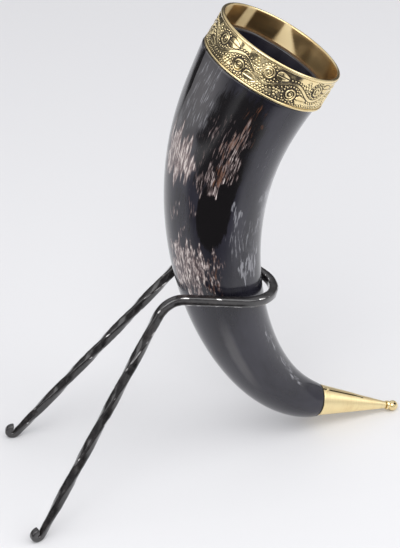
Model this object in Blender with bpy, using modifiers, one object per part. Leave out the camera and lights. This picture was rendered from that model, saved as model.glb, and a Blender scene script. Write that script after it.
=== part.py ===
# A drinking horn: a polished horn cup with a brass rim and a brass tip, standing in a forged iron fork.
# The horn curves in one upright plane. The two feet of the fork and the knob on the tip touch the floor.
import math

import bmesh
import bpy
from mathutils import Matrix, Quaternion, Vector

# Fits, in metres
FIT = 0.0003  # gap between pieces that touch
OVERLAP = 0.003  # how far a joined or cut shape reaches past its neighbour

# Brass rim
RIM_RADIUS = 0.038  # outside of the embossed strip
RIM_HEIGHT = 0.0213
STRIP_WALL = 0.0007
SLEEVE_WALL = 0.0008
LIP_HEIGHT = 0.0019  # rolled top edge of the sleeve
LIP_PROUD = 0.0003
HEM_HEIGHT = 0.0014  # wire along the lower edge
HEM_PROUD = 0.0003
RIM_BED = 0.0006  # cement between sleeve and horn

# Horn
HORN_LENGTH = 0.2778  # along the middle, from the rim to the brass tip
MOUTH_INSET = 0.0008  # how much less than the rim the horn's radius is below it
MOUTH_SHIFT = 0.0015  # the rim sits off the horn's middle, towards the hollow side of the curve
MOUTH_HEADING = math.radians(235.5)  # direction of the horn's middle at the rim, in the plane xz
RIM_SKEW = math.radians(4.0)  # the mouth is sawn a little off square
SKEW_LENGTH = 0.030  # the skew has gone this far below the rim
MOUTH_BEND_RADIUS = 0.1393
TIP_BEND_RADIUS = 0.0453
TIP_BEND_POWER = 6  # the bend at the tip fades in with this power of the way along
TIP_RADIUS = 0.0102
TAPER_NEAR_MOUTH = 0.88
TAPER_NEAR_TIP = 0.68
SQUARE_END = 0.001  # the horn's ends run straight this far, to meet the brass square
NECK_LENGTH = 0.008  # turned down to go inside the rim
LIP_WALL = 0.0026  # horn's wall at its edge
CAVITY_DEPTH = 0.200  # below the rim, along the middle
CAVITY_WALL = 0.008  # wall where the cavity ends

# Brass tip
CONE_LENGTH = 0.049
CONE_STEP = 0.0002  # the cone's mouth is this much less than the horn
CONE_WALL = 0.0008
CONE_END_RADIUS = 0.0022
SPIGOT_LENGTH = 0.030  # the horn's solid point inside the cone
TIP_BED = 0.0006  # cement between cone and horn
STEM_LENGTH = 0.005
COLLAR_RADIUS = 0.0029
COLLAR_HEIGHT = 0.0014
KNOB_NECK_RADIUS = 0.0019
KNOB_NECK_HEIGHT = 0.0008
KNOB_RADIUS = 0.0034
KNOB_HOLE_RADIUS = 0.0007
KNOB_HOLE_TURN = math.radians(32.0)  # from the top of the knob towards -y
PIN_DISTANCE = 0.0035  # from the cone's mouth
PIN_TURN = math.radians(8.0)  # from the top of the cone towards -y
PIN_RADIUS = 0.0006
PIN_HEAD_RADIUS = 0.0011
PIN_HEAD_HEIGHT = 0.0006
PIN_DEPTH = 0.0018  # into the horn

# Iron fork
BAR = 0.0058  # side of the square bar
BAR_CHAMFER = 0.0014
FOOT_BAR = 0.0044  # side of the bar at its drawn-out ends
FOOT_TAPER = 0.024
FORK_STATION = 0.141  # where the fork holds the horn, along its middle
FORK_PITCH = math.radians(-13.7)  # the fork falls towards its round end
FORK_ROLL = math.radians(7.5)  # its back arm lies lower than its front arm
FORK_SLACK = 0.0052  # room between the horn and the round end
FRONT_ARM = 0.0458  # from the round end's centre to the front leg
BACK_ARM = 0.0156
FRONT_FOOT = Vector((-0.1289, -0.0593))  # from under the middle of the horn in the fork
BACK_FOOT = Vector((-0.1251, 0.0391))
BEND_RADIUS = 0.015
SCROLL_RADIUS = 0.0028  # middle of the bar in the curled foot
SCROLL_TURN = math.radians(240.0)
FOOT_FLAT = 0.0004  # taken off the curl to make a flat to stand on
LEG_TWIST = math.radians(360.0)
LEG_STEP = 0.003

# Facets
HORN_SIDES = 40
HORN_RINGS = 40
CAVITY_RINGS = 26
RIM_STEPS = 64
LIP_STEPS = 6
HEM_STEPS = 4
TIP_STEPS = 32
KNOB_STEPS = 10
PIN_STEPS = 16
FORK_STEPS = 24
ARM_STEPS = 4
BEND_STEPS = 7
SCROLL_STEPS = 18
INTEGRATION_STEPS = 600

# Sizes that follow from the ones above
HORN_RADIUS = RIM_RADIUS - MOUTH_INSET
SLEEVE_OUTER = RIM_RADIUS - STRIP_WALL - FIT
SLEEVE_INNER = SLEEVE_OUTER - SLEEVE_WALL
NECK_RADIUS = SLEEVE_INNER - FIT - RIM_BED - FIT
CAVITY_RADIUS = NECK_RADIUS - LIP_WALL
CONE_RADIUS = TIP_RADIUS - CONE_STEP
STEM_RADIUS = CONE_END_RADIUS - CONE_WALL - FIT
KNOB_SEAT = CONE_LENGTH + FIT
KNOB_START = KNOB_SEAT + COLLAR_HEIGHT + KNOB_NECK_HEIGHT
KNOB_CENTRE = KNOB_START + math.sqrt(KNOB_RADIUS**2 - KNOB_NECK_RADIUS**2)
MERGE = 0.00001


def smooth_step(value):
    value = min(max(value, 0.0), 1.0)
    return value * value * (3 - 2 * value)


def heading(distance):
    along = distance / HORN_LENGTH
    body = (along - along**2 / 2) / MOUTH_BEND_RADIUS
    tip = along ** (TIP_BEND_POWER + 1) / ((TIP_BEND_POWER + 1) * TIP_BEND_RADIUS)
    skew = RIM_SKEW * (1 - smooth_step(distance / SKEW_LENGTH))
    return MOUTH_HEADING + HORN_LENGTH * (body + tip) + skew


def direction(angle):
    return Vector((math.cos(angle), 0, math.sin(angle)))


def horn_radius(distance):
    along = min(max(distance / HORN_LENGTH, 0.0), 1.0)
    return TIP_RADIUS + (HORN_RADIUS - TIP_RADIUS) * (1 - along**TAPER_NEAR_MOUTH) ** TAPER_NEAR_TIP


def walk_centreline():
    points = [Vector()]
    step = HORN_LENGTH / INTEGRATION_STEPS
    for i in range(INTEGRATION_STEPS):
        points.append(points[-1] + step * direction(heading((i + 0.5) * step)))
    grip = points[round(FORK_STATION / step)]
    knob_drop = (points[-1] + KNOB_CENTRE * direction(heading(HORN_LENGTH))).z
    start = Vector((-grip.x, 0, KNOB_RADIUS - knob_drop))
    return [start + point for point in points]


CENTRELINE = walk_centreline()


def on_centreline(distance):
    place = distance / HORN_LENGTH * INTEGRATION_STEPS
    first = min(max(int(place), 0), INTEGRATION_STEPS - 1)
    return CENTRELINE[first].lerp(CENTRELINE[first + 1], place - first)


def hollow_side(distance):
    return Vector((0, 1, 0)).cross(direction(heading(distance))) * -1


RIM_UP = -direction(heading(0))
RIM_ORIGIN = CENTRELINE[0] + MOUTH_SHIFT * hollow_side(0) + FIT * RIM_UP
TIP_OUT = direction(heading(HORN_LENGTH))
TIP_ORIGIN = CENTRELINE[-1]


def new_collection(name, hidden=False):
    collection = bpy.data.collections.new(name)
    collection.hide_render = hidden
    bpy.context.scene.collection.children.link(collection)
    return collection


def empty(name, parent=None, matrix=None):
    item = bpy.data.objects.new(name, None)
    item.empty_display_size = RIM_HEIGHT
    parts.objects.link(item)
    if matrix:
        item.matrix_world = matrix
    item.parent = parent
    return item


def material(name, colour, roughness, metallic):
    finish = bpy.data.materials.new(name)
    finish.use_nodes = True
    shader = finish.node_tree.nodes["Principled BSDF"]
    shader.inputs["Base Color"].default_value = (*colour, 1)
    shader.inputs["Roughness"].default_value = roughness
    shader.inputs["Metallic"].default_value = metallic
    return finish


def add(name, mesh, parent, finish):
    mesh.shade_smooth()
    mesh.set_sharp_from_angle(angle=math.radians(35))
    mesh.materials.append(finish)
    item = bpy.data.objects.new(name, mesh)
    item.parent = parent
    parts.objects.link(item)
    return item


def add_cutter(name, mesh, parent=None, matrix=None):
    item = bpy.data.objects.new(name, mesh)
    item.hide_render = True
    item.display_type = "WIRE"
    item.parent = parent
    if matrix:
        item.matrix_local = matrix
    cutters.objects.link(item)
    return item


def boolean(item, operation, other):
    modifier = item.modifiers.new(other.name, "BOOLEAN")
    modifier.operation = operation
    modifier.solver = "EXACT"
    modifier.object = other


def frame_along(origin, axis):
    side = Vector((0, 1, 0))
    across = side.cross(axis)
    turn = Matrix((across, side, axis)).transposed()
    return Matrix.Translation(origin) @ turn.to_4x4()


def tube_mesh(name, points, radii):
    curve = bpy.data.curves.new(name, "CURVE")
    curve.dimensions = "3D"
    curve.bevel_depth = 1.0
    curve.bevel_resolution = HORN_SIDES // 2 - 2
    curve.use_fill_caps = True
    spline = curve.splines.new("POLY")
    spline.points.add(len(points) - 1)
    for knot, point, radius in zip(spline.points, points, radii):
        knot.co = (*point, 1)
        knot.radius = radius
    guide = bpy.data.objects.new(name, curve)
    cutters.objects.link(guide)
    bpy.context.view_layer.update()
    mesh = bpy.data.meshes.new_from_object(guide.evaluated_get(bpy.context.evaluated_depsgraph_get()))
    bpy.data.objects.remove(guide)
    work = bmesh.new()
    work.from_mesh(mesh)
    bmesh.ops.remove_doubles(work, verts=work.verts, dist=MERGE)
    bmesh.ops.recalc_face_normals(work, faces=work.faces)
    work.to_mesh(mesh)
    work.free()
    return mesh


def cone_mesh(name, low_radius, high_radius, low, high, sides):
    mesh = bpy.data.meshes.new(name)
    work = bmesh.new()
    middle = Matrix.Translation((0, 0, (low + high) / 2))
    bmesh.ops.create_cone(
        work,
        cap_ends=True,
        segments=sides,
        radius1=low_radius,
        radius2=high_radius,
        depth=high - low,
        matrix=middle,
    )
    work.to_mesh(mesh)
    work.free()
    return mesh


def turned(name, profile, parent, finish, steps, closed=True):
    mesh = bpy.data.meshes.new(name)
    count = len(profile)
    edges = [(i, (i + 1) % count) for i in range(count if closed else count - 1)]
    mesh.from_pydata([(radius, 0, height) for radius, height in profile], edges, [])
    item = add(name, mesh, parent, finish)
    screw = item.modifiers.new("turned", "SCREW")
    screw.steps = steps
    screw.render_steps = steps
    screw.use_merge_vertices = True
    screw.merge_threshold = MERGE
    screw.use_smooth_shade = True
    return item


def arc(centre, radius, first, last, steps):
    angles = [first + (last - first) * i / steps for i in range(steps + 1)]
    return [(centre[0] + radius * math.cos(a), centre[1] + radius * math.sin(a)) for a in angles]


def loft(name, rings):
    mesh = bpy.data.meshes.new(name)
    work = bmesh.new()
    rows = [[work.verts.new(point) for point in ring] for ring in rings]
    count = len(rows[0])
    for low, high in zip(rows, rows[1:]):
        for i in range(count):
            j = (i + 1) % count
            work.faces.new((low[i], low[j], high[j], high[i]))
    work.faces.new(rows[0])
    work.faces.new(rows[-1])
    bmesh.ops.recalc_face_normals(work, faces=work.faces)
    work.to_mesh(mesh)
    work.free()
    return mesh


def make_horn(parent, rim_axis, tip_axis, finish):
    stations = [HORN_LENGTH * i / HORN_RINGS for i in range(1, HORN_RINGS)]
    points = [CENTRELINE[0], CENTRELINE[0] - SQUARE_END * RIM_UP]
    points += [on_centreline(s) for s in stations]
    points += [TIP_ORIGIN - SQUARE_END * TIP_OUT, TIP_ORIGIN]
    ends = [HORN_LENGTH - SQUARE_END, HORN_LENGTH]
    radii = [horn_radius(s) for s in [0, SQUARE_END] + stations + ends]
    horn = add("horn_shell", tube_mesh("horn_shell", points, radii), parent, finish)

    neck = cone_mesh("horn_neck", NECK_RADIUS, NECK_RADIUS, -OVERLAP, NECK_LENGTH, RIM_STEPS)
    boolean(horn, "UNION", add_cutter("horn_neck", neck, rim_axis))
    root_radius = spigot_radius(-OVERLAP)
    end_radius = spigot_radius(SPIGOT_LENGTH)
    spigot = cone_mesh("horn_spigot", root_radius, end_radius, -OVERLAP, SPIGOT_LENGTH, TIP_STEPS)
    boolean(horn, "UNION", add_cutter("horn_spigot", spigot, tip_axis))

    points = [RIM_ORIGIN + (NECK_LENGTH + OVERLAP) * RIM_UP, RIM_ORIGIN]
    radii = [CAVITY_RADIUS, CAVITY_RADIUS]
    mouth_wall = HORN_RADIUS - CAVITY_RADIUS
    dome = horn_radius(CAVITY_DEPTH) - CAVITY_WALL
    for i in range(1, CAVITY_RINGS):
        share = math.sin(math.pi / 2 * i / CAVITY_RINGS)
        distance = CAVITY_DEPTH * share
        shift = MOUTH_SHIFT * (1 - smooth_step(distance / SKEW_LENGTH))
        wall = mouth_wall + (CAVITY_WALL - mouth_wall) * share**2
        into_dome = min(max(1 - (CAVITY_DEPTH - distance) / dome, 0.0), 1.0)
        points.append(on_centreline(distance) + shift * hollow_side(distance))
        radii.append((horn_radius(distance) - wall) * math.sqrt(1 - into_dome**2))
    cavity = tube_mesh("horn_cavity", points, radii)
    boolean(horn, "DIFFERENCE", add_cutter("horn_cavity", cavity))
    return horn


def make_rim(rim_axis, brass, strip_brass, cement):
    lip_outer = RIM_RADIUS + LIP_PROUD
    lip_round = (lip_outer - SLEEVE_INNER) / 2
    lip_centre = (SLEEVE_INNER + lip_round, RIM_HEIGHT - lip_round)
    lip_under = RIM_HEIGHT - max(LIP_HEIGHT, lip_round)
    sleeve = arc(lip_centre, lip_round, math.pi, 0, LIP_STEPS)
    sleeve += [(lip_outer, lip_under), (SLEEVE_OUTER, lip_under), (SLEEVE_OUTER, 0), (SLEEVE_INNER, 0)]
    turned("rim_sleeve", sleeve, rim_axis, brass, RIM_STEPS)

    strip_top = lip_under - FIT
    strip_foot = HEM_HEIGHT + FIT
    strip_inner = RIM_RADIUS - STRIP_WALL
    strip = [(RIM_RADIUS, strip_top), (RIM_RADIUS, strip_foot)]
    strip += [(strip_inner, strip_foot), (strip_inner, strip_top)]
    turned("rim_strip", strip, rim_axis, strip_brass, RIM_STEPS)

    hem_outer = RIM_RADIUS + HEM_PROUD
    hem_round = HEM_HEIGHT / 2
    hem = arc((hem_outer - hem_round, hem_round), hem_round, math.pi / 2, -math.pi / 2, HEM_STEPS)
    hem += [(strip_inner, 0), (strip_inner, HEM_HEIGHT)]
    turned("rim_hem", hem, rim_axis, brass, RIM_STEPS)

    bed_inner = NECK_RADIUS + FIT
    bed_outer = bed_inner + RIM_BED
    bed = [(bed_outer, NECK_LENGTH), (bed_outer, 0), (bed_inner, 0), (bed_inner, NECK_LENGTH)]
    turned("rim_bedding", bed, rim_axis, cement, RIM_STEPS)


def cone_outer(height):
    return CONE_RADIUS + (CONE_END_RADIUS - CONE_RADIUS) * height / CONE_LENGTH


def cone_inner(height):
    return cone_outer(height) - CONE_WALL


def spigot_radius(height):
    return cone_inner(height) - FIT - TIP_BED - FIT


def make_tip(horn, tip_axis, brass, cement):
    cone = [
        (CONE_END_RADIUS, CONE_LENGTH),
        (cone_outer(FIT), FIT),
        (cone_inner(FIT), FIT),
        (cone_inner(CONE_LENGTH), CONE_LENGTH),
    ]
    ferrule = turned("tip_cone", cone, tip_axis, brass, TIP_STEPS)

    bed = [
        (cone_inner(SPIGOT_LENGTH) - FIT, SPIGOT_LENGTH),
        (cone_inner(FIT) - FIT, FIT),
        (spigot_radius(FIT) + FIT, FIT),
        (spigot_radius(SPIGOT_LENGTH) + FIT, SPIGOT_LENGTH),
    ]
    bedding = turned("tip_bedding", bed, tip_axis, cement, TIP_STEPS)

    collar_top = KNOB_SEAT + COLLAR_HEIGHT
    stem_end = KNOB_SEAT - STEM_LENGTH
    underside = -math.asin((KNOB_CENTRE - KNOB_START) / KNOB_RADIUS)
    knob = [(0, KNOB_CENTRE + KNOB_RADIUS)]
    knob += arc((0, KNOB_CENTRE), KNOB_RADIUS, math.pi / 2, underside, KNOB_STEPS)[1:]
    knob += [
        (KNOB_NECK_RADIUS, collar_top),
        (COLLAR_RADIUS, collar_top),
        (COLLAR_RADIUS, KNOB_SEAT),
        (STEM_RADIUS, KNOB_SEAT),
        (STEM_RADIUS, stem_end),
        (0, stem_end),
    ]
    finial = turned("tip_finial", knob, tip_axis, brass, TIP_STEPS, closed=False)
    round_knob = Matrix.Rotation(KNOB_HOLE_TURN - math.pi / 2, 4, "Z")
    across = Matrix.Translation((0, 0, KNOB_CENTRE)) @ round_knob @ Matrix.Rotation(math.pi / 2, 4, "X")
    drill_reach = KNOB_RADIUS + OVERLAP
    drill = cone_mesh("knob_drill", KNOB_HOLE_RADIUS, KNOB_HOLE_RADIUS, -drill_reach, drill_reach, PIN_STEPS)
    boolean(finial, "DIFFERENCE", add_cutter("knob_drill", drill, tip_axis, across))

    # The pin stands square on the cone's slope, with its head on the brass and its point in the horn
    slope = math.atan2(CONE_RADIUS - CONE_END_RADIUS, CONE_LENGTH)
    round_cone = Matrix.Rotation(PIN_TURN, 4, "Z")
    lean = Matrix.Rotation(-math.pi / 2 - slope, 4, "Y")
    stand_off = Matrix.Translation((-cone_outer(PIN_DISTANCE), 0, PIN_DISTANCE))
    pin_place = round_cone @ stand_off @ lean
    pin_axis = empty("pin_axis", tip_axis)
    pin_axis.matrix_local = pin_place
    horn_surface = (CONE_WALL + FIT + TIP_BED + FIT) / math.cos(slope)
    point = -(horn_surface + PIN_DEPTH)
    head_top = FIT + PIN_HEAD_HEIGHT
    pin = [
        (0, head_top),
        (PIN_RADIUS, head_top),
        (PIN_HEAD_RADIUS, FIT),
        (PIN_RADIUS, FIT),
        (PIN_RADIUS, point + 2 * PIN_RADIUS),
        (0, point),
    ]
    turned("tip_pin", pin, pin_axis, brass, PIN_STEPS, closed=False)
    hole_radius = PIN_RADIUS + FIT
    hole = cone_mesh("pin_hole", hole_radius, hole_radius, point - FIT, head_top, PIN_STEPS)
    for item in (ferrule, bedding, horn):
        boolean(item, "DIFFERENCE", add_cutter("pin_hole_" + item.name, hole, pin_axis))


def bend(corner, coming, going):
    turn = coming.angle(going)
    reach = BEND_RADIUS * math.tan(turn / 2)
    axis = coming.cross(going).normalized()
    start = corner - reach * coming
    centre = start + BEND_RADIUS * axis.cross(coming)
    arm = start - centre
    return [centre + Quaternion(axis, turn * i / BEND_STEPS) @ arm for i in range(BEND_STEPS + 1)]


def limb(arm_end, corner, foot, normal):
    # One arm of the fork with its leg, from the round end out to the curled foot: points, sides and sizes
    out = Vector((foot.x - corner.x, foot.y - corner.y, 0))
    span = out.length
    out.normalize()
    plane = out.cross(Vector((0, 0, 1)))
    scroll_centre = Vector((foot.x, foot.y, FOOT_BAR / 2 - FOOT_FLAT + SCROLL_RADIUS))
    fall = scroll_centre.z - corner.z
    straight = math.sqrt(span**2 + fall**2 - SCROLL_RADIUS**2)
    slope = math.atan2(fall, span) - math.atan2(SCROLL_RADIUS, straight)
    going = out * math.cos(slope) + Vector((0, 0, math.sin(slope)))
    coming = (corner - arm_end).normalized()

    curve = bend(corner, coming, going)
    points = [arm_end.lerp(curve[0], i / ARM_STEPS) for i in range(1, ARM_STEPS)]
    points += curve
    leg_first = len(points)
    leg_end = corner + straight * going
    leg = leg_end - curve[-1]
    count = round(leg.length / LEG_STEP)
    points += [curve[-1] + leg * i / count for i in range(1, count + 1)]
    leg_last = len(points)
    spoke = leg_end - scroll_centre
    for i in range(1, SCROLL_STEPS + 1):
        points.append(scroll_centre + Quaternion(plane, SCROLL_TURN * i / SCROLL_STEPS) @ spoke)

    sides = [normal]
    heading_before = coming
    for before, after in zip(points, points[1:]):
        heading_now = (after - before).normalized()
        sides.append(heading_before.rotation_difference(heading_now) @ sides[-1])
        heading_before = heading_now
    # Whole quarter turns of twist, and what is left over to bring the bar's faces square to the curl
    carried = sides[leg_last - 1]
    left_over = math.atan2(carried.cross(plane).dot(going), carried.dot(plane)) % (math.pi / 2)
    sizes = []
    for i, point in enumerate(points):
        share = min(max((i - leg_first) / (leg_last - leg_first), 0.0), 1.0)
        axis = (points[min(i + 1, len(points) - 1)] - points[max(i - 1, 0)]).normalized()
        sides[i] = Quaternion(axis, (LEG_TWIST + left_over) * share) @ sides[i]
        to_foot = (leg_end - point).length if i < leg_last else 0.0
        sizes.append(FOOT_BAR + (BAR - FOOT_BAR) * smooth_step(to_foot / FOOT_TAPER))
    return points, sides, sizes


def make_stand(parent, iron):
    grip = on_centreline(FORK_STATION)
    forward = direction(FORK_PITCH)
    across = Quaternion(forward, -FORK_ROLL) @ Vector((0, 1, 0))
    normal = forward.cross(across)
    widest = horn_radius(FORK_STATION - BAR)
    fork_radius = widest + FIT + BAR / 2
    centre = grip + FORK_SLACK * forward + fork_radius * (across - Vector((0, 1, 0)))
    turns = [math.pi * (i / FORK_STEPS - 0.5) for i in range(FORK_STEPS + 1)]
    arc_points = [centre + fork_radius * (math.cos(a) * forward + math.sin(a) * across) for a in turns]

    limbs = []
    ends = ((arc_points[0], FRONT_ARM, FRONT_FOOT), (arc_points[-1], BACK_ARM, BACK_FOOT))
    for arm_end, length, foot in ends:
        ground = Vector((grip.x + foot.x, foot.y, 0))
        limbs.append(limb(arm_end, arm_end - length * forward, ground, normal))
    front, back = limbs
    points = front[0][::-1] + arc_points + back[0]
    sides = front[1][::-1] + [normal] * len(arc_points) + back[1]
    sizes = front[2][::-1] + [BAR] * len(arc_points) + back[2]

    rings = []
    for i, point in enumerate(points):
        along = (points[min(i + 1, len(points) - 1)] - points[max(i - 1, 0)]).normalized()
        up = (sides[i] - sides[i].dot(along) * along).normalized()
        wide = along.cross(up)
        half = sizes[i] / 2
        flat = half - BAR_CHAMFER * sizes[i] / BAR
        corners = ((half, -flat), (half, flat), (flat, half), (-flat, half))
        corners += tuple((-a, -b) for a, b in corners)
        rings.append([point + a * up + b * wide for a, b in corners])
    stand = add("stand_bar", loft("stand_bar", rings), parent, iron)

    reach = 4 * (FRONT_FOOT - BACK_FOOT).length
    floor = bpy.data.meshes.new("floor")
    work = bmesh.new()
    bmesh.ops.create_cube(work, size=reach, matrix=Matrix.Translation((grip.x, 0, -reach / 2)))
    work.to_mesh(floor)
    work.free()
    boolean(stand, "DIFFERENCE", add_cutter("floor", floor))


def centre_on_origin(root):
    bpy.context.view_layer.update()
    graph = bpy.context.evaluated_depsgraph_get()
    corners = []
    for item in parts.objects:
        if item.type == "MESH":
            shape = item.evaluated_get(graph)
            corners += [shape.matrix_world @ vertex.co for vertex in shape.to_mesh().vertices]
            shape.to_mesh_clear()
    for axis in (0, 1):
        values = [corner[axis] for corner in corners]
        root.location[axis] = -(min(values) + max(values)) / 2
    bpy.context.view_layer.update()


for old in list(bpy.data.objects):
    bpy.data.objects.remove(old)
parts = new_collection("drinking_horn")
cutters = new_collection("cutters", hidden=True)

polished_horn = material("polished_horn", (0.045, 0.042, 0.048), 0.12, 0.0)
bright_brass = material("bright_brass", (0.80, 0.60, 0.26), 0.22, 1.0)
embossed_brass = material("embossed_brass", (0.62, 0.46, 0.20), 0.32, 1.0)
brown_cement = material("brown_cement", (0.16, 0.09, 0.04), 0.7, 0.0)
black_iron = material("black_iron", (0.02, 0.019, 0.02), 0.3, 0.4)

root = empty("drinking_horn")
horn_body = empty("horn", root)
stand_body = empty("stand", root)
rim_axis = empty("rim_axis", horn_body, frame_along(RIM_ORIGIN, RIM_UP))
tip_axis = empty("tip_axis", horn_body, frame_along(TIP_ORIGIN, TIP_OUT))

horn_shell = make_horn(horn_body, rim_axis, tip_axis, polished_horn)
make_rim(rim_axis, bright_brass, embossed_brass, brown_cement)
make_tip(horn_shell, tip_axis, bright_brass, brown_cement)
make_stand(stand_body, black_iron)
for cutter in cutters.objects:
    if cutter.parent is None:
        cutter.parent = root
centre_on_origin(root)
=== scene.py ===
# Drinking horn in a forged fork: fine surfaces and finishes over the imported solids
import math

import bpy
import numpy as np
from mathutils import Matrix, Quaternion, Vector, noise


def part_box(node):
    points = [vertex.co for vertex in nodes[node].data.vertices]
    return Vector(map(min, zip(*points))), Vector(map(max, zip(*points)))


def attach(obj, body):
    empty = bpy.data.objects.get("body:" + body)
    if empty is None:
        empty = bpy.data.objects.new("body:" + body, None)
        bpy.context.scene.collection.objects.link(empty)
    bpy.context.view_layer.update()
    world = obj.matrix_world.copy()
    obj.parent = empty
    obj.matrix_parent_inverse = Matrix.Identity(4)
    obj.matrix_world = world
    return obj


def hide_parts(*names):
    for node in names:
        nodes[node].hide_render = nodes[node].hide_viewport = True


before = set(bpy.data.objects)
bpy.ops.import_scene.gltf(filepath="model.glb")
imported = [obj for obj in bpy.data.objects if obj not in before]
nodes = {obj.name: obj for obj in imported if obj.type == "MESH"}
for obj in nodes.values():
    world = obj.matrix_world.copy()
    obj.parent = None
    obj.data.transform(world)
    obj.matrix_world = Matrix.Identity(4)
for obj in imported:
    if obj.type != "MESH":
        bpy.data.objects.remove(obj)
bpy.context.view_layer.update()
print("frame loaded:", len(nodes), "nodes")

hornShape = {
    "length": 0.2778,  # along the middle, rim to brass tip
    "mouthRadius": 0.0372,
    "tipRadius": 0.0102,
    "mouthHeading": math.radians(235.5),
    "rimSkew": math.radians(4.0),
    "skewLength": 0.030,
    "mouthBend": 0.1393,
    "tipBend": 0.0453,
    "tipBendPower": 6,
    "taperMouth": 0.88,
    "taperTip": 0.68,
    "mouthShift": 0.0015,
    "forkStation": 0.141,
    "neckRadius": 0.0350,
    "neckLength": 0.008,
    "lipWall": 0.0026,
    "cavityDepth": 0.200,
    "cavityWall": 0.008,
    "lipDrop": 0.0003,  # the edge inside the brass is cut a little short and wavy
    "lipWaves": (0.00025, 0.00018),
    "spigotRadius": 0.0076,
    "spigotEnd": 0.0030,
    "spigotLength": 0.030,
    "shoulderRadius": 0.0092,
    "seam": 0.0001,  # step between rings that nearly meet
    "edgeRound": 0.0007,
    "endRound": 0.0009,
    "darkEnd": 0.0018,  # the horn's end by the brass cone, painted dark: painted shade in the joint with the brass
    "darkEdge": 0.0004,
    "grainRadius": 0.012,  # the least, so that the pattern stays open at the tip
    "unevenness": 0.00016,  # shallow waves left by hand sanding
    "unevenFrom": 0.012,  # they fade out towards the brass at either end
    "unevenTo": 0.010,
    "sides": 320,
    "rings": 300,
    "cavityRings": 60,
}

fit = 0.0003  # gap between neighbouring pieces, as in the solids
walkSteps = 1200


def smoothStep(value):
    value = np.clip(value, 0.0, 1.0)
    return value * value * (3 - 2 * value)


def heading(distance):
    h = hornShape
    along = distance / h["length"]
    power = h["tipBendPower"] + 1
    bend = (along - along**2 / 2) / h["mouthBend"] + along**power / (power * h["tipBend"])
    skew = h["rimSkew"] * (1 - smoothStep(distance / h["skewLength"]))
    return h["mouthHeading"] + h["length"] * bend + skew


def hornRadius(distance):
    h = hornShape
    along = np.clip(distance / h["length"], 0.0, 1.0)
    taper = (1 - along ** h["taperMouth"]) ** h["taperTip"]
    return h["tipRadius"] + (h["mouthRadius"] - h["tipRadius"]) * taper


def walkCentreline():
    step = hornShape["length"] / walkSteps
    angles = heading((np.arange(walkSteps) + 0.5) * step)
    moves = np.stack([np.cos(angles), np.zeros(walkSteps), np.sin(angles)], 1) * step
    return np.concatenate([np.zeros((1, 3)), np.cumsum(moves, 0)])


knob = {
    "radius": 0.0034,
    "distance": 0.05432,  # from the cone's mouth to its middle
    "holeRadius": 0.0007,
    "holeTurn": math.radians(32.0),  # from the top towards the viewer
}

centreline = walkCentreline()
tipAngle = heading(hornShape["length"])
tipOut = np.array([math.cos(tipAngle), 0, math.sin(tipAngle)])
# The knob's far side and the floor place the horn in the frame
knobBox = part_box("tip_finial")
unplaced = centreline[-1] + knob["distance"] * tipOut
centreline += (
    knobBox[1][0] - knob["radius"] - unplaced[0],
    (knobBox[0][1] + knobBox[1][1]) / 2,
    knob["radius"] - unplaced[2],
)
tipOrigin = centreline[-1]
sideways = np.array([0.0, 1.0, 0.0])  # away from the viewer


def onCentreline(distance):
    place = np.atleast_1d(distance) / hornShape["length"] * walkSteps
    steps = np.arange(walkSteps + 1)
    return np.stack([np.interp(place, steps, centreline[:, k]) for k in range(3)], 1)


def hollowSide(distance):
    angle = heading(np.atleast_1d(distance))
    return np.stack([-np.sin(angle), np.zeros_like(angle), np.cos(angle)], 1)


def fullTurn(count):
    return np.arange(count) / count * 2 * np.pi


def fromMiddle(degrees):
    return (degrees + 180) % 360 - 180


def spreadRound(angles, hollow):
    # Directions away from an axis: the hollow side first, then away from the viewer
    return np.cos(angles)[:, None] * hollow + np.sin(angles)[:, None] * sideways


mouthAngle = heading(0.0)
rimUp = -np.array([math.cos(mouthAngle), 0, math.sin(mouthAngle)])
rimHollow = hollowSide(0.0)[0]
rimOrigin = centreline[0] + hornShape["mouthShift"] * rimHollow + fit * rimUp
tipHollow = hollowSide(hornShape["length"])[0]


def ringMesh(name, rings, wrap=False, poles=(False, False)):
    # Rings of equally many points, joined by quads
    # A pole closes an end, wrap joins the last ring to the first
    rings = np.asarray(rings)
    count, sides = rings.shape[:2]
    points = rings.reshape(-1, 3)
    column = np.arange(sides)
    following = np.roll(column, -1)
    faces = []
    for row in range(count if wrap else count - 1):
        low = row * sides
        high = (row + 1) % count * sides
        faces.append(np.stack([low + column, low + following, high + following, high + column], 1))
    faces = np.concatenate(faces).tolist()
    extra = []
    for end, wanted in zip((0, count - 1), poles):
        if wanted:
            centre = len(points) + len(extra)
            extra.append(rings[end].mean(0))
            low = end * sides
            around = zip(column, following) if end else zip(following, column)
            faces += [(low + int(a), low + int(b), centre) for a, b in around]
    if extra:
        points = np.concatenate([points, extra])
    mesh = bpy.data.meshes.new(name)
    mesh.from_pydata(points.tolist(), [], faces)
    mesh.shade_smooth()
    return mesh


def putPiece(name, mesh, body, slotName, finish, *replaced):
    piece = bpy.data.objects.new(name, mesh)
    bpy.context.scene.collection.objects.link(piece)
    mesh.materials.append(finish)
    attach(piece, body)
    if replaced:
        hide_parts(*replaced)


def addFloats(mesh, name, values):
    values = np.asarray(values, np.float32).ravel()
    layer = mesh.attributes.new(name, "FLOAT", "POINT")
    full = np.zeros(len(mesh.vertices), np.float32)
    full[: len(values)] = values
    layer.data.foreach_set("value", full)


def addVectors(mesh, name, values):
    values = np.asarray(values, np.float32).reshape(-1, 3)
    layer = mesh.attributes.new(name, "FLOAT_VECTOR", "POINT")
    full = np.zeros((len(mesh.vertices), 3), np.float32)
    full[: len(values)] = values
    layer.data.foreach_set("vector", full.ravel())


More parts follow.
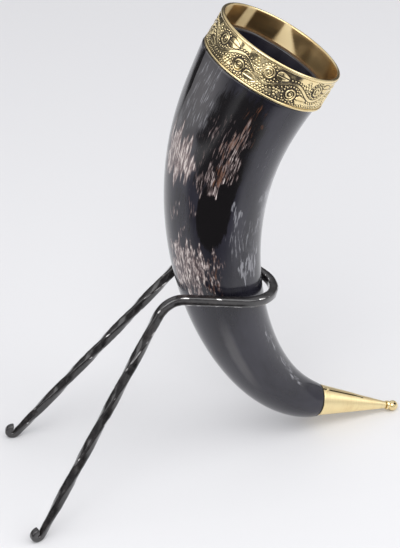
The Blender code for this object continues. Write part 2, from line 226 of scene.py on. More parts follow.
class Tree:
    # Short words for building a node tree
    def __init__(self, tree):
        self.tree = tree

    def node(self, kind, inputs=None, **settings):
        made = self.tree.nodes.new("ShaderNode" + kind)
        for name, value in settings.items():
            setattr(made, name, value)
        self.fill(made, inputs or {})
        return made

    def fill(self, made, inputs):
        for name, value in inputs.items():
            self.feed(made.inputs[name], value)

    def feed(self, socket, value):
        if isinstance(value, bpy.types.NodeSocket):
            self.tree.links.new(value, socket)
        elif isinstance(value, tuple) and len(value) == 3 and socket.type == "RGBA":
            socket.default_value = (*value, 1)
        else:
            socket.default_value = value

    def math(self, operation, a, b=0.0, c=0.0, clamp=False):
        values = {0: a, 1: b, 2: c}
        return self.node("Math", values, operation=operation, use_clamp=clamp).outputs[0]

    def times(self, a, b):
        return self.math("MULTIPLY", a, b)

    def scaled(self, value, by, plus):
        return self.math("MULTIPLY_ADD", value, by, plus)

    def vectors(self, operation, a, b=(0.0, 0.0, 0.0), output="Vector"):
        return self.node("VectorMath", {0: a, 1: b}, operation=operation).outputs[output]

    def mix(self, share, a, b):
        # Sockets 6 and 7 and output 2 are the colours
        return self.node("Mix", {0: share, 6: a, 7: b}, data_type="RGBA").outputs[2]

    def between(self, value, low, high):
        values = {"Value": value, "From Min": low, "From Max": high}
        return self.node("MapRange", values, interpolation_type="SMOOTHSTEP").outputs["Result"]

    def attribute(self, name, output="Fac"):
        return self.node("Attribute", attribute_name=name).outputs[output]

    def noise(self, vector, scale, detail=3.0, roughness=0.55):
        values = {"Vector": vector, "Scale": scale, "Detail": detail, "Roughness": roughness}
        return self.node("TexNoise", values).outputs["Fac"]

    def stretch(self, vector, scale):
        return self.node("Mapping", {"Vector": vector, "Scale": scale}).outputs["Vector"]

    def onObject(self):
        return self.node("TexCoord").outputs["Object"]

    def bump(self, strength, distance, height, over=None):
        values = {"Strength": strength, "Distance": distance, "Height": height}
        if over:
            values["Normal"] = over
        return self.node("Bump", values).outputs["Normal"]


def newGroup(name, inputs, outputs):
    group = bpy.data.node_groups.new(name, "ShaderNodeTree")
    for label, kind, value in inputs:
        socket = group.interface.new_socket(label, in_out="INPUT", socket_type=kind)
        if value is not None:
            socket.default_value = value
    for label, kind in outputs:
        group.interface.new_socket(label, in_out="OUTPUT", socket_type=kind)
    return group, Tree(group), group.nodes.new("NodeGroupInput"), group.nodes.new("NodeGroupOutput")


def newMaterial(name):
    finish = bpy.data.materials.new(name)
    finish.use_nodes = True
    tree = Tree(finish.node_tree)
    return finish, tree, finish.node_tree.nodes["Principled BSDF"]


def useGroup(tree, group, inputs):
    return tree.node("Group", inputs, node_tree=group).outputs


def makeHandlingGroup():
    # Smudges and dull spots that handling leaves on polished metal and horn
    group, tree, given, put = newGroup(
        "handlingMarks",
        [("Size", "NodeSocketFloat", 60.0)],
        [("Dull", "NodeSocketFloat")],
    )
    smudges = tree.noise(tree.onObject(), given.outputs["Size"], 4.0, 0.6)
    tree.feed(put.inputs["Dull"], tree.between(smudges, 0.42, 0.72))
    return group


def makeScratchGroup():
    # Fine lines that run along the second direction of a piece's own vector
    group, tree, given, put = newGroup(
        "polishLines",
        [
            ("Along", "NodeSocketVector", None),
            ("Size", "NodeSocketFloat", 900.0),
            ("Stretch", "NodeSocketFloat", 0.04),
        ],
        [("Lines", "NodeSocketFloat")],
    )
    squeeze = tree.node("CombineXYZ", {"X": 1.0, "Y": given.outputs["Stretch"], "Z": 1.0}).outputs[0]
    where = tree.vectors("MULTIPLY", given.outputs["Along"], squeeze)
    tree.feed(put.inputs["Lines"], tree.noise(where, given.outputs["Size"], 2.0, 0.6))
    return group


handlingMarks = makeHandlingGroup()
polishLines = makeScratchGroup()

hornFinish = {
    "dark": (0.012, 0.0115, 0.0175),
    "grey": (0.030, 0.029, 0.040),
    "dusk": (0.0095, 0.0085, 0.0092),
    "night": (0.0080, 0.0070, 0.0078),
    "cream": (0.84, 0.755, 0.71),
    "ash": (0.21, 0.155, 0.15),
    "hazeAndSheen": (0.125, 0.121, 0.124),
    "pale": (0.42, 0.42, 0.45),
    "rust": (0.135, 0.056, 0.028),
    # Patterns in the horn: size, stretch along it, detail, roughness of the noise
    "fibre": (1900.0, 0.06, 3.0, 0.6),
    "streak": (1200.0, 0.065, 4.0, 0.55),
    "mottle": (1000.0, 0.24, 2.0, 0.5),
    "cloud": (60.0, 0.30, 3.0, 0.5),
    "cloudRange": (0.35, 0.68),
    "fibreRange": (0.4, 0.75),
    "fibreShare": 0.35,
    "hazeAndSheenShare": 0.85,
    "duskFray": 1.4,  # how far a dark patch's edge follows the pattern
    "duskRange": (0.15, 0.85),
    "duskShare": 0.94,
    "nightFray": 0.9,
    "nightRange": (0.34, 0.66),
    "clouded": (0.86, 1.05),  # the strongest cream patches have an ash ground
    "cloudedShare": 0.30,
    "paleRange": (0.38, 0.60),
    # Threads of a pattern: where it starts to show outside a patch and inside it, softness, strength
    "wispThreads": (0.80, 0.47, 0.16, 0.62),
    "ashThreads": (0.74, 0.40, 0.14, 0.85),
    "creamThreads": (0.80, 0.48, 0.13, 1.0),
    "rustThreads": (0.80, 0.42, 0.14, 0.85),
    "flecks": (0.080, 0.105),  # long threads turn to short flecks between these distances from the rim
    "roughness": 0.12,
    "smudge": 0.06,
    "smudgeSize": 45.0,
    "fittedRoughness": 0.6,
    "coat": 0.25,
    "coatRoughness": 0.04,
    "specular": 0.36,
    "bump": (0.08, 0.0003),  # strength, depth
}


def makeHornMaterial():
    c = hornFinish
    finish, tree, shader = newMaterial("polishedHorn")
    grain = tree.attribute("grain", "Vector")

    def pattern(kind):
        size, stretch, detail, roughness = c[kind]
        return tree.noise(tree.stretch(grain, (1, 1, stretch)), size, detail, roughness)

    def threads(noisy, patch, kind):
        # Share of a pattern that shows: none where the patch is 0, most of it where the patch is 1
        bare, full, soft, strength = c[kind]
        gate = tree.scaled(tree.attribute(patch), full - bare, bare)
        over = tree.math("SUBTRACT", noisy, gate)
        shown = tree.math("MULTIPLY", over, 1 / soft, clamp=True)
        return tree.times(shown, strength)

    def frayed(patch, noisy, reach):
        # A patch whose edge follows a pattern
        edge = tree.scaled(noisy, reach, -reach / 2)
        return tree.math("ADD", tree.attribute(patch), edge)

    fibre = pattern("fibre")
    streak = pattern("streak")
    mottle = pattern("mottle")
    cloud = pattern("cloud")

    # The dark ground with its grey clouds and pale wisps
    colour = tree.mix(tree.between(cloud, *c["cloudRange"]), c["dark"], c["grey"])
    fibres = tree.times(tree.between(fibre, *c["fibreRange"]), c["fibreShare"])
    colour = tree.mix(fibres, colour, c["grey"])
    # Grey haze, which in one patch on the lower horn is a painted highlight
    colour = tree.mix(tree.times(tree.attribute("hazeAndSheen"), c["hazeAndSheenShare"]), colour, c["hazeAndSheen"])
    colour = tree.mix(threads(streak, "wisp", "wispThreads"), colour, c["pale"])

    # Dark patches over it
    dusk = tree.between(frayed("dusk", fibre, c["duskFray"]), *c["duskRange"])
    colour = tree.mix(tree.times(dusk, c["duskShare"]), colour, c["dusk"])
    night = tree.between(frayed("night", streak, c["nightFray"]), *c["nightRange"])
    colour = tree.mix(night, colour, c["night"])

    # Cream and rust threads: long ones near the rim, short flecks above the fork
    clouded = tree.between(tree.attribute("cream"), *c["clouded"])
    colour = tree.mix(tree.times(clouded, c["cloudedShare"]), colour, c["ash"])
    lower = tree.between(tree.node("SeparateXYZ", {"Vector": grain}).outputs["Z"], *c["flecks"])
    share = tree.scaled(lower, 0.5, 0.25)
    both = tree.node("Mix", {"Factor": share, "A": streak, "B": mottle}).outputs[0]
    colour = tree.mix(threads(both, "cream", "ashThreads"), colour, c["ash"])
    pale = tree.mix(tree.between(fibre, *c["paleRange"]), c["ash"], c["cream"])
    colour = tree.mix(threads(both, "cream", "creamThreads"), colour, pale)
    colour = tree.mix(threads(streak, "rust", "rustThreads"), colour, c["rust"])

    marks = useGroup(tree, handlingMarks, {"Size": c["smudgeSize"]})
    rough = tree.scaled(marks["Dull"], c["smudge"], c["roughness"])
    # The horn's end by the cone: painted shade, rougher and without coat
    shadedFittedEnd = tree.attribute("shadedFittedEnd")
    height = tree.scaled(fibre, 0.5, tree.times(streak, 0.5))
    tree.fill(shader, {
        "Base Color": colour,
        "Roughness": tree.scaled(shadedFittedEnd, c["fittedRoughness"], rough),
        "Coat Weight": tree.scaled(shadedFittedEnd, -c["coat"], c["coat"]),
        "Coat Roughness": c["coatRoughness"],
        "Specular IOR Level": c["specular"],
        "Normal": tree.bump(*c["bump"], height),
    })
    return finish


brassFinish = {
    "bright": (0.98, 0.815, 0.465),
    "worn": (0.72, 0.50, 0.22),
    # Painted shade and painted highlight inside the rim: a shaded and a lit copy of the brass
    "inside": (0.58, 0.38, 0.17),
    "scouredHighlight": (1.0, 0.81, 0.46),
    "recess": (0.030, 0.019, 0.009),
    "roughness": 0.13,
    "smudge": 0.10,
    "smudgeSize": 70.0,
    "smudgeShare": 0.5,
    "brushedSize": 1500.0,
    "brushedRange": (0.45, 0.75),
    "brushedShare": 0.2,
    "brushedRoughness": 0.06,
    "bump": (0.12, 0.0002),  # strength, depth
    "insideRoughness": 0.22,
    "scouredRoughness": 0.46,
    "scouredSpread": 0.92,
    # less metal in the fans so that they show brighter: painted highlight
    "scouredHighlightMatt": 0.80,
}


def makeBrass(name, scouredLitAndShadedInside=False, satin=0.0, seamed=False, drilled=None):
    c = brassFinish
    finish, tree, shader = newMaterial(name)
    marks = useGroup(tree, handlingMarks, {"Size": c["smudgeSize"]})
    lines = {"Along": tree.attribute("lines", "Vector"), "Size": c["brushedSize"]}
    brushed = useGroup(tree, polishLines, lines)["Lines"]
    colour = tree.mix(tree.times(marks["Dull"], c["smudgeShare"]), c["bright"], c["worn"])
    drawn = tree.times(tree.between(brushed, *c["brushedRange"]), c["brushedShare"])
    colour = tree.mix(drawn, colour, c["worn"])
    rough = tree.scaled(marks["Dull"], c["smudge"], c["roughness"] + satin)
    if seamed:
        # Painted shade: a dark line along the cone's seam
        colour = tree.mix(tree.attribute("seam"), colour, c["recess"])
    if drilled:
        # Painted shade in a drilled hole and on its edge: all that lies near its axis is painted dark
        centre, axis, radius = drilled
        offset = tree.vectors("SUBTRACT", tree.onObject(), centre)
        away = tree.vectors("LENGTH", tree.vectors("CROSS_PRODUCT", offset, axis), output="Value")
        colour = tree.mix(tree.between(away, radius * 1.35, radius * 1.05), colour, c["recess"])
    if scouredLitAndShadedInside:
        # Scouring round the inside draws each reflection out along the rim's axis. The inside wall is
        # painted as a shaded copy of the brass, and the fans as a lit copy, brighter and less
        # metallic: painted shade and painted highlight
        inside = tree.attribute("inside")
        scouredHighlight = tree.attribute("scouredHighlight")
        colour = tree.mix(inside, colour, tree.mix(scouredHighlight, c["inside"], c["scouredHighlight"]))
        rough = tree.scaled(inside, c["insideRoughness"] - c["roughness"], rough)
        rough = tree.scaled(scouredHighlight, c["scouredRoughness"] - c["insideRoughness"], rough)
        axis = tree.node("CombineXYZ", dict(zip("XYZ", map(float, rimUp))))
        fans = tree.between(scouredHighlight, rim["scouredHighlightAll"], 1.0)
        tree.fill(shader, {
            "Tangent": axis.outputs["Vector"],
            "Anisotropic": tree.times(scouredHighlight, c["scouredSpread"]),
            "Metallic": tree.scaled(fans, -c["scouredHighlightMatt"], 1.0),
        })
    else:
        shader.inputs["Metallic"].default_value = 1.0
    tree.fill(shader, {
        "Base Color": colour,
        "Roughness": tree.scaled(brushed, c["brushedRoughness"], rough),
        "Normal": tree.bump(*c["bump"], brushed),
    })
    return finish


embossedFinish = {
    "smudgeSize": 110.0,
    "smudgeShare": 0.3,
    "speck": (900.0, 3.0, 0.6),  # noise: size, detail, roughness
    "speckShare": 0.24,
    "clot": (48.0, 2.0, 0.5),
    "clotRange": (0.50, 0.66),
    "clotShare": 0.26,
    "rubbedRange": (0.12, 0.38),
    "bareRange": (0.05, 0.30),
    "recessRoughness": 0.32,  # more than on the high places
    "beaten": (62.0, 2.0, 0.5),
    "beatenBump": (1.0, 0.0046),  # shallow beats that scatter the light
}


def makeEmbossedBrass():
    b = brassFinish
    e = embossedFinish
    finish, tree, shader = newMaterial("embossedBrass")
    where = tree.onObject()
    marks = useGroup(tree, handlingMarks, {"Size": e["smudgeSize"]})
    # Dark wax stays low in the work, and the high places are rubbed bright
    speck = tree.noise(where, *e["speck"])
    level = tree.scaled(tree.math("SUBTRACT", speck, 0.5), e["speckShare"], tree.attribute("relief"))
    clotted = tree.between(tree.noise(where, *e["clot"]), *e["clotRange"])
    level = tree.scaled(clotted, -e["clotShare"], level)
    # Broad patches darken or brighten the strip: wax, and towards the viewer painted shade and painted
    # highlight
    level = tree.math("SUBTRACT", level, tree.attribute("wax"))
    rubbed = tree.between(level, *e["rubbedRange"])
    low = tree.math("SUBTRACT", 1.0, rubbed)
    shaded = tree.mix(tree.times(marks["Dull"], e["smudgeShare"]), b["bright"], b["worn"])
    uneven = tree.bump(*e["beatenBump"], tree.noise(where, *e["beaten"]))
    tree.fill(shader, {
        "Base Color": tree.mix(rubbed, b["recess"], shaded),
        "Metallic": tree.between(level, *e["bareRange"]),
        "Roughness": tree.scaled(low, e["recessRoughness"], b["roughness"]),
        "Normal": tree.bump(*b["bump"], speck, uneven),
    })
    return finish


ironFinish = {
    "black": (0.006, 0.0055, 0.006),
    "scale": (0.026, 0.023, 0.023),
    "warm": (0.050, 0.043, 0.040),
    "bare": (0.72, 0.70, 0.69),
    "roughness": 0.08,
    "scaleRoughness": 0.16,
    "wax": 0.8,
    "waxRoughness": 0.05,
    "crust": (420.0, 5.0, 0.65),  # noise: size, detail, roughness
    "crustRange": (0.35, 0.7),
    "smudgeSize": 130.0,
    "smudgeShare": 0.35,
    "bareRange": (0.30, 0.62),
    "bump": (0.25, 0.0004),
}


def makeIron():
    c = ironFinish
    finish, tree, shader = newMaterial("waxedIron")
    marks = useGroup(tree, handlingMarks, {"Size": c["smudgeSize"]})
    crust = tree.noise(tree.onObject(), *c["crust"])
    colour = tree.mix(tree.between(crust, *c["crustRange"]), c["black"], c["scale"])
    colour = tree.mix(tree.times(marks["Dull"], c["smudgeShare"]), colour, c["warm"])
    bare = tree.between(tree.attribute("rubbed"), *c["bareRange"])  # where the edges are rubbed
    tree.fill(shader, {
        "Base Color": tree.mix(bare, colour, c["bare"]),
        "Metallic": bare,
        "Roughness": tree.scaled(crust, c["scaleRoughness"], c["roughness"]),
        "Coat Weight": c["wax"],
        "Coat Roughness": c["waxRoughness"],
        "Normal": tree.bump(*c["bump"], crust),
    })
    return finish


cementFinish = {
    "dark": (0.09, 0.05, 0.02),
    "light": (0.22, 0.13, 0.06),
    "grit": (700.0, 4.0, 0.6),
    "roughnessRange": (-0.6, 1.2),
    "bump": (0.4, 0.0003),
}


def makeCement():
    c = cementFinish
    finish, tree, shader = newMaterial("brownCement")
    grit = tree.noise(tree.onObject(), *c["grit"])
    tree.fill(shader, {
        "Base Color": tree.mix(grit, c["dark"], c["light"]),
        "Roughness": tree.between(grit, *c["roughnessRange"]),
        "Normal": tree.bump(*c["bump"], grit),
    })
    return finish


# How patches end: fray of their ends, squareness, how much of them is solid
patchEdges = {
    "hazeAndSheen": (0.12, 2.6, 0.4),
    "dusk": (0.6, 2.6, 0.7),
    "night": (0.15, 2.0, 0.7),
    "cream": (1.0, 2.6, 0.7),
    "wisp": (1.0, 2.6, 0.7),
    "rust": (1.0, 2.6, 0.7),
}

# Where the horn's colours lie: kind, mm from the rim, degrees round it, strength
# (0 degrees is the hollow side, -90 towards the viewer)
hornPatches = [
    ("hazeAndSheen", (-6, 46), (-190, -140), 1.0),
    # Painted highlight: the soft pale reflection of a softbox on the lower horn, laid as a haze patch
    ("hazeAndSheen", (166, 216), (-116, -101), 0.62),
    ("hazeAndSheen", (60, 140), (-200, -168), 0.6),
    ("night", (56, 103), (-128, -91), 1.0),
    ("night", (42, 76), (-101, -89), 0.95),
    ("dusk", (2, 66), (-143, -88), 1.0),
    ("night", (66, 102), (-172, -126), 0.42),
    ("night", (-4, 30), (175, 183), 1.0),
    ("night", (22, 50), (177, 182), 0.9),
    ("cream", (40, 67), (-190, -138), 1.10),
    ("cream", (19, 60), (-118, -94), 0.86),
    ("cream", (14, 54), (-140, -117), 0.56),
    ("cream", (49, 67), (-140, -103), 0.84),
    ("cream", (60, 66), (-113, -107), 1.15),
    ("cream", (100, 139), (-173, -110), 1.0),
    ("cream", (103, 139), (-116, -94), 0.72),
    ("cream", (80, 90), (-168, -150), 0.78),
    ("cream", (71, 84), (-141, -130), 0.74),
    ("cream", (87, 95), (-147, -139), 0.70),
    ("wisp", (0, 40), (-178, -140), 0.80),
    ("wisp", (8, 62), (-138, -96), 0.62),
    ("wisp", (72, 85), (-91, -79), 1.15),
    ("wisp", (84, 120), (-90, -38), 0.80),
    ("wisp", (115, 132), (-75, -40), 1.2),
    ("wisp", (56, 100), (-56, -20), 1.05),
    ("wisp", (10, 60), (-84, -40), 0.45),
    ("wisp", (184, 208), (-50, -30), 0.90),
    ("wisp", (212, 252), (-44, -22), 0.92),
    ("rust", (45, 59), (-119, -106), 1.0),
    ("rust", (22, 46), (-118, -99), 0.80),
    ("rust", (104, 138), (-120, -94), 0.66),
    ("rust", (4, 34), (-116, -90), 0.62),
    # The far side
    ("hazeAndSheen", (-6, 60), (20, 80), 0.7),
    ("hazeAndSheen", (-6, 40), (104, 150), 0.8),
    ("night", (38, 104), (68, 104), 1.0),
    ("night", (90, 126), (26, 54), 0.7),
    ("dusk", (4, 70), (60, 118), 0.9),
    ("cream", (22, 62), (96, 118), 0.82),
    ("cream", (30, 74), (74, 98), 0.80),
    ("cream", (52, 70), (60, 84), 0.98),
    ("cream", (62, 80), (100, 112), 0.84),
    ("cream", (34, 58), (128, 164), 1.0),
    ("cream", (92, 142), (104, 152), 0.92),
    ("cream", (100, 146), (76, 110), 0.84),
    ("cream", (124, 150), (60, 84), 0.72),
    ("cream", (74, 86), (136, 152), 0.74),
    ("wisp", (24, 112), (34, 64), 0.75),
    ("wisp", (2, 50), (104, 160), 0.75),
    ("wisp", (112, 176), (84, 124), 0.70),
    ("wisp", (50, 130), (-20, 34), 0.75),
    ("wisp", (6, 54), (0, 40), 0.6),
    ("rust", (40, 68), (86, 104), 0.8),
    ("rust", (104, 136), (96, 112), 0.7),
]


def paintPatches(mesh, along, turn, outside):
    masks = {kind: np.zeros(along.shape) for kind in patchEdges}
    # Each fibre starts and ends a little higher or lower than its neighbours
    ragged = 3.2 * np.sin(23 * turn) + 2.6 * np.sin(41 * turn + 1.3) + 2.2 * np.sin(67 * turn + 0.4)
    swing = 3.0 * np.sin(along * 210) + 2.0 * np.sin(along * 530 + 1.0)
    for kind, (high, low), (first, last), strength in hornPatches:
        fray, square, solid = patchEdges[kind]
        down = (along * 1000 + fray * ragged - (high + low) / 2) / ((low - high) / 2)
        aside = np.degrees(turn) + fray * swing - (first + last) / 2
        around = fromMiddle(aside) / ((last - first) / 2)
        reach = (np.abs(down) ** square + np.abs(around) ** square) ** (1 / square)
        shown = 1 - smoothStep((reach - solid) / (2 - 2 * solid))
        masks[kind] = np.maximum(masks[kind], strength * shown)
    h = hornShape
    # Painted shade: the horn's end by the brass cone is painted night-dark
    shadedFittedEnd = smoothStep((along - h["length"] + h["darkEnd"]) / h["darkEdge"])
    masks["night"] = np.maximum(masks["night"], shadedFittedEnd)
    masks["shadedFittedEnd"] = shadedFittedEnd
    for kind, mask in masks.items():
        addFloats(mesh, kind, mask * outside)


def makeHorn(finish):
    h = hornShape
    angles = fullTurn(h["sides"])
    cavityRadius = h["neckRadius"] - h["lipWall"]
    mouthWall = h["mouthRadius"] - cavityRadius
    dome = hornRadius(h["cavityDepth"]) - h["cavityWall"]
    rings = []
    along = []
    outside = []

    def addRing(centre, hollow, radius, distance, shown, uneven=0.0):
        spread = spreadRound(angles, hollow)
        waves = 0.5 + 0.5 * np.sin(3 * angles + 40 * distance + 1.0)
        waves = 0.6 * waves + 0.4 * (0.5 + 0.5 * np.sin(5 * angles - 70 * distance))
        rings.append(centre + (radius - uneven * waves)[:, None] * spread)
        along.append(np.full(h["sides"], distance))
        outside.append(np.full(h["sides"], shown))

    flat = np.ones(h["sides"])
    # Inside, from the bottom up to the mouth
    for i in range(h["cavityRings"] - 1, 0, -1):
        share = math.sin(math.pi / 2 * i / h["cavityRings"])
        distance = h["cavityDepth"] * share
        shift = h["mouthShift"] * (1 - smoothStep(distance / h["skewLength"]))
        wall = mouthWall + (h["cavityWall"] - mouthWall) * share**2
        intoDome = np.clip(1 - (h["cavityDepth"] - distance) / dome, 0.0, 1.0)
        radius = (hornRadius(distance) - wall) * math.sqrt(1 - intoDome**2)
        hollow = hollowSide(distance)[0]
        addRing(onCentreline(distance)[0] + shift * hollow, hollow, radius * flat, distance, 0.0)
    # The edge inside the brass, rounded over, and the neck
    rounding = h["lipWall"] / 2
    middle = cavityRadius + rounding
    top = h["neckLength"] - rounding
    addRing(rimOrigin, rimHollow, cavityRadius * flat, 0.0, 0.0)
    broad, fine = h["lipWaves"]
    ragged = broad * np.sin(4 * angles + 0.7) + fine * np.sin(9 * angles)
    for i in range(9):
        turn = math.pi * (1 - i / 8)
        spot = rimOrigin + (top + rounding * math.sin(turn)) * rimUp
        addRing(spot, rimHollow, (middle + rounding * math.cos(turn)) * flat, 0.0, 0.3)
        rings[-1] = rings[-1] + (math.sin(turn) * (ragged - h["lipDrop"]))[:, None] * rimUp
    neckFoot = centreline[0] + h["mouthShift"] * rimHollow + h["seam"] * rimUp
    addRing(neckFoot, rimHollow, h["neckRadius"] * flat, 0.0, 0.0)
    # Outside, from the shoulder under the brass down to the tip
    corner = h["edgeRound"]
    for i in range(7):
        turn = math.pi / 2 * (1 - i / 6)
        drop = corner * (1 - math.sin(turn))
        radius = h["mouthRadius"] - corner * (1 - math.cos(turn))
        addRing(centreline[0] - drop * rimUp, rimHollow, radius * flat, drop, 1.0)
    endCorner = h["length"] - h["endRound"]
    distances = np.linspace(corner * 2, endCorner, h["rings"])
    for distance, centre, hollow in zip(distances, onCentreline(distances), hollowSide(distances)):
        fade = smoothStep((distance - corner) / h["unevenFrom"])
        fade = fade * smoothStep((h["length"] - distance) / h["unevenTo"])
        addRing(centre, hollow, hornRadius(distance) * flat, distance, 1.0, h["unevenness"] * fade)
    for i in range(1, 6):
        turn = math.pi / 2 * i / 6
        distance = endCorner + (h["endRound"] - h["seam"]) * math.sin(turn)
        radius = hornRadius(distance) - 0.8 * h["endRound"] * (1 - math.cos(turn))
        addRing(onCentreline(distance)[0], hollowSide(distance)[0], radius * flat, distance, 1.0)
    # Spigot inside the brass cone
    for reach, radius in (
        (0.0, h["shoulderRadius"]),
        (h["seam"], h["spigotRadius"]),
        (h["spigotLength"], h["spigotEnd"]),
    ):
        addRing(tipOrigin + reach * tipOut, tipHollow, radius * flat, h["length"], 0.0)

    mesh = ringMesh("hornShell", rings, poles=(True, True))
    along = np.array(along)
    turn = np.tile(angles, (len(rings), 1))
    radii = np.maximum(hornRadius(along), h["grainRadius"])
    grain = np.stack([radii * np.cos(turn), radii * np.sin(turn), along], -1)
    addVectors(mesh, "grain", grain)
    paintPatches(mesh, along, turn, np.array(outside))
    putPiece("hornShell", mesh, "horn", "polished_horn", finish, "horn_shell")


rim = {
    "radius": 0.038,
    "height": 0.0213,
    "stripWall": 0.0007,
    "sleeveWall": 0.0008,
    "lipHeight": 0.0019,
    "lipProud": 0.0003,
    "hemHeight": 0.0014,
    "hemProud": 0.0003,
    "steps": 288,
    "inwardDents": 0.00022,
    "dentEdge": 0.0004,  # dents, scouring, painted shade and painted highlight stay on the inside
    "dentTop": 0.004,  # and dents below the rolled edge
    "dentFade": 0.003,
    "scouredHighlightAll": 0.20,
    "fanSolid": 0.5,  # share of a fan's half width before it fades
    "fanEdge": 0.9,
    # Scoured fans on the inside, painted brighter where the lamps' reflections fall: painted
    # highlight.
    # Degrees round the rim at the horn and at the lip, half widths there, strength
    "fans": (
        (55, 62, 13, 4, 1.0),
        (104, 102, 7, 6, 0.85),
        (141, 138, 9, 10, 0.85),
        (14, 18, 20, 18, 0.35),
        (196, 192, 8, 12, 0.7),
        (238, 242, 14, 5, 0.9),
        (300, 296, 10, 6, 0.8),
    ),
}


def turnedRings(profile, angles, origin, axis, hollow, dent=None):
    rings = []
    spread = spreadRound(angles, hollow)
    for radius, height in profile:
        grown = np.full(angles.shape, radius)
        if dent is not None:
            grown = grown + dent(angles, radius, height)
        rings.append(origin + height * axis + grown[:, None] * spread)
    return rings


def lineVectors(mesh, profile, angles, scale):
    # Where a point lies on its turned piece: height and turn, for lines that run round it
    radii, heights = np.array(profile).T[:, :, None] + np.zeros(len(angles))
    turns = np.tile(angles * scale, (len(profile), 1))
    addVectors(mesh, "lines", np.stack([heights, turns, radii], -1))


def arcPoints(centre, radius, first, last, steps):
    angles = first + (last - first) * np.arange(steps + 1) / steps
    return [(centre[0] + radius * math.cos(a), centre[1] + radius * math.sin(a)) for a in angles]


def lineUp(first, last, count):
    a = np.array(first)
    b = np.array(last)
    return [tuple(a + (b - a) * i / count) for i in range(1, count)]


def makeSleeve(finish):
    r = rim
    outer = r["radius"] - r["stripWall"] - fit
    inner = outer - r["sleeveWall"]
    lipOuter = r["radius"] + r["lipProud"]
    half = (lipOuter - inner) / 2
    profile = arcPoints((inner + half, r["height"] - half), half, math.pi, 0, 12)
    under = r["height"] - r["lipHeight"]
    profile += [(lipOuter, under), (outer, under), (outer, 0.0), (inner, 0.0)]
    profile += lineUp((inner, 0.0), profile[0], 14)
    angles = fullTurn(r["steps"])

    def dent(turn, radius, height):
        depth = 1 - smoothStep((radius - inner) / r["dentEdge"])
        low = 1 - smoothStep((height - r["height"] + r["dentTop"]) / r["dentFade"])
        wave = np.sin(4 * turn + 0.6) + 0.7 * np.sin(7 * turn + 180 * height) + 0.4 * np.sin(11 * turn)
        return r["inwardDents"] * depth * low * wave / 2

    rings = turnedRings(profile, angles, rimOrigin, rimUp, rimHollow, dent)
    mesh = ringMesh("rimSleeve", rings[::-1], wrap=True)
    lineVectors(mesh, profile[::-1], angles, r["radius"])
    radii, heights = np.array(profile[::-1]).T[:, :, None]
    # The inside wall, painted as a shaded copy of the brass
    inside = 1 - smoothStep((radii - inner) / r["dentEdge"])
    hornEdge = hornShape["neckLength"]
    share = np.clip((heights - hornEdge) / (under - hornEdge), 0.0, 1.0)
    # Painted highlight: fans of brighter brass where the lamps' reflections fall
    scouredHighlight = np.full((len(profile), r["steps"]), r["scouredHighlightAll"])
    for low, high, lowHalf, highHalf, strength in r["fans"]:
        aside = np.degrees(angles) - (low + (high - low) * share)
        away = np.abs(fromMiddle(aside)) / (lowHalf + (highHalf - lowHalf) * share)
        faded = smoothStep((away - r["fanSolid"]) / r["fanEdge"])
        scouredHighlight = np.maximum(scouredHighlight, strength * (1 - faded))
    addFloats(mesh, "inside", np.repeat(inside, r["steps"], 1))
    addFloats(mesh, "scouredHighlight", inside * scouredHighlight)
    putPiece("rimSleeve", mesh, "horn", "bright_brass", finish, "rim_sleeve")


def makeHem(finish):
    r = rim
    inner = r["radius"] - r["stripWall"]
    half = r["hemHeight"] / 2
    profile = arcPoints((r["radius"] + r["hemProud"] - half, half), half, math.pi / 2, -math.pi / 2, 8)
    profile += [(inner, 0.0), (inner, r["hemHeight"])]
    angles = fullTurn(r["steps"])
    rings = turnedRings(profile, angles, rimOrigin, rimUp, rimHollow)
    mesh = ringMesh("rimHem", rings[::-1], wrap=True)
    lineVectors(mesh, profile[::-1], angles, r["radius"])
    putPiece("rimHem", mesh, "horn", "bright_brass", finish, "rim_hem")


vine = {
    "repeats": 7,  # waves of the stem round the rim
    "swing": 0.0036,
    "stemWidth": 0.0008,
    "voluteRadius": 0.0036,
    "volutePitch": 0.0016,
    "voluteOffset": 0.0030,
    "grape": 0.00082,
    "grapePitch": 0.0018,
    "grapeOffset": 0.0034,  # of the bunch's first row, from the strip's middle
    "grapeRow": 0.0016,
    "leafLength": 0.0040,
    "leafWidth": 0.0024,
    "leafOffset": 0.0047,
    "leafTaper": 0.35,
    "leafLevel": 0.9,
    "veinWidth": 0.12,
    "veinLevel": 0.20,
    "coilRise": 1.5,
    "coilDrop": 0.1,
    "dome": (0.72, 0.28),  # level of a bead's edge, rise to its top
    "bead": 0.00052,
    "beadCount": 126,  # in a row round the rim
    "edgeBeads": 0.0010,  # the row's height above the lower edge
    "stemBeads": 0.0017,  # from the stem's middle
    "ringBeads": 16,  # round each volute
    "ringOffset": 0.0012,
    "eye": 0.0009,  # in the middle of each volute
    "groove": 0.00046,
    "grooveLevel": 0.04,
    "softness": 0.00016,
    "ground": 0.60,
    "depth": 0.00050,
    "dents": 0.00010,
    "columns": 1500,
    "rows": 104,
    # Dark wax left in the work, or rubbed out of it, which towards the viewer is painted shade and
    # painted highlight: degrees round the rim, half width, depth
    "wax": (
        (-98, 13, 0.42),
        (-166, 8, 0.30),
        (-124, 9, -0.35),
        (-70, 10, -0.12),
        (48, 14, 0.40),
        (128, 12, 0.34),
    ),
}


def lay(relief, distance, top, groove):
    # Puts a form with a dark groove round it on the relief, from the distance to its edge
    soft = vine["softness"]
    around = 1 - smoothStep((distance - groove) / soft + 0.5)
    inside = 1 - smoothStep(distance / soft + 0.5)
    return (relief * (1 - around) + vine["grooveLevel"] * around) * (1 - inside) + top * inside


